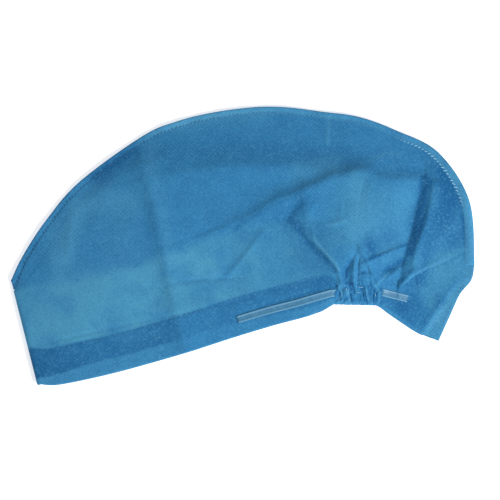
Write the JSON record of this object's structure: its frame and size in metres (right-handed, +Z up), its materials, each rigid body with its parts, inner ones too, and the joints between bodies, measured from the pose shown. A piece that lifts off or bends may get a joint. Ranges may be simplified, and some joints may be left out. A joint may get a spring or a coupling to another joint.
{
  "type": "scrub cap",
  "caption": "Disposable gathered cloth cap for medical work, lying on its side, with a flat crown seam, turned-up hem and elastic at the nape.",
  "frame": {"origin": "middle of the underside of the cap as it lies on its side", "axes": "+X along the hem from the forehead fold to the nape, +Y from the hem towards the crown, +Z up from the surface that the cap lies on"},
  "size_m": [0.2979, 0.1792, 0.0257],
  "materials": {
    "cloth_blue": "matt non-woven cloth with a fine embossed texture",
    "seam_blue": "matt welded non-woven cloth",
    "band_pale_blue": "smooth matt non-woven cloth",
    "elastic_clear": "translucent ribbed elastic tape"
  },
  "bodies": {
    "root": {"cap_sheet": "cloth_blue", "crown_seam": "seam_blue", "sweatband": "band_pale_blue", "near_elastic": "elastic_clear", "far_elastic": "elastic_clear"}
  },
  "joints": []
}
